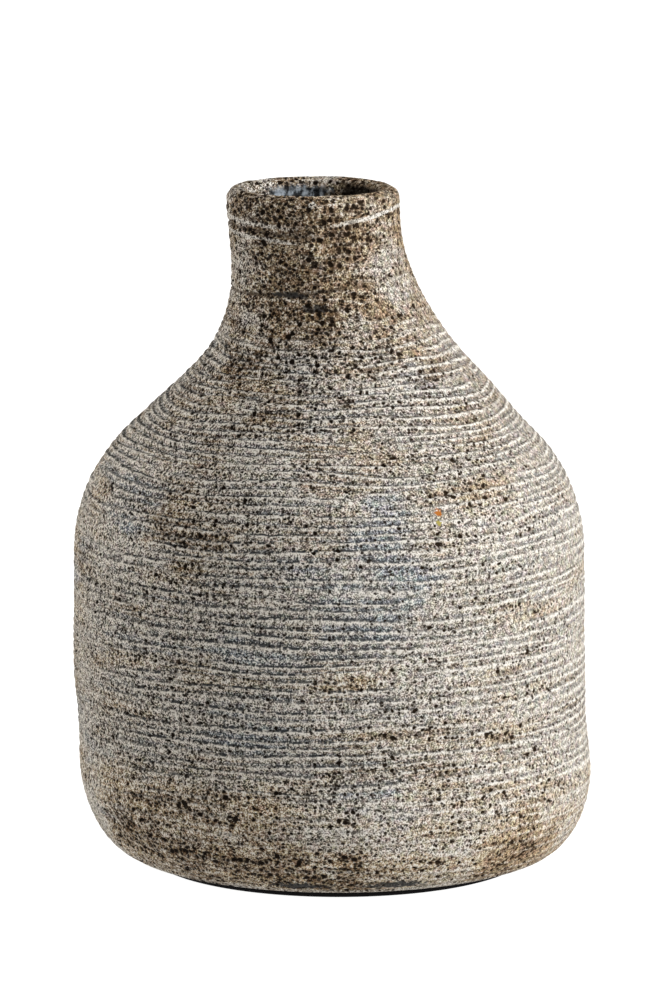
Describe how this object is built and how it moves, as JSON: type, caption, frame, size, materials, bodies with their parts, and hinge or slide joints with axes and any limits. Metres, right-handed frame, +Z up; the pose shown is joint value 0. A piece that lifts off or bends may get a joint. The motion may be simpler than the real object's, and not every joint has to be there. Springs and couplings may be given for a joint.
{
  "type": "bottle vase",
  "caption": "Bottle vase of thrown stoneware with a broad belly, rounded lower corner, sloping shoulder, leaning narrow neck and round lip, brushed with ridged pale slip, for flower stems.",
  "frame": {"origin": "middle of the felt's underside, where the vase stands", "axes": "+Z up; the pictured front faces -Y and the neck leans towards -X"},
  "size_m": [0.1816, 0.1796, 0.2368],
  "materials": {
    "felt": "black pressed felt",
    "clay": "dark coarse stoneware",
    "slip": "dry brushed slip, pitted, matte",
    "liner": "thin grey satin glaze"
  },
  "bodies": {
    "root": {"felt_pad": "felt", "base_dish": "clay", "belly_wall": "clay", "shoulder": "clay", "neck_collar": "clay", "lip_coil": "clay", "slip_coat": "slip", "liner_glaze": "liner"}
  },
  "joints": []
}
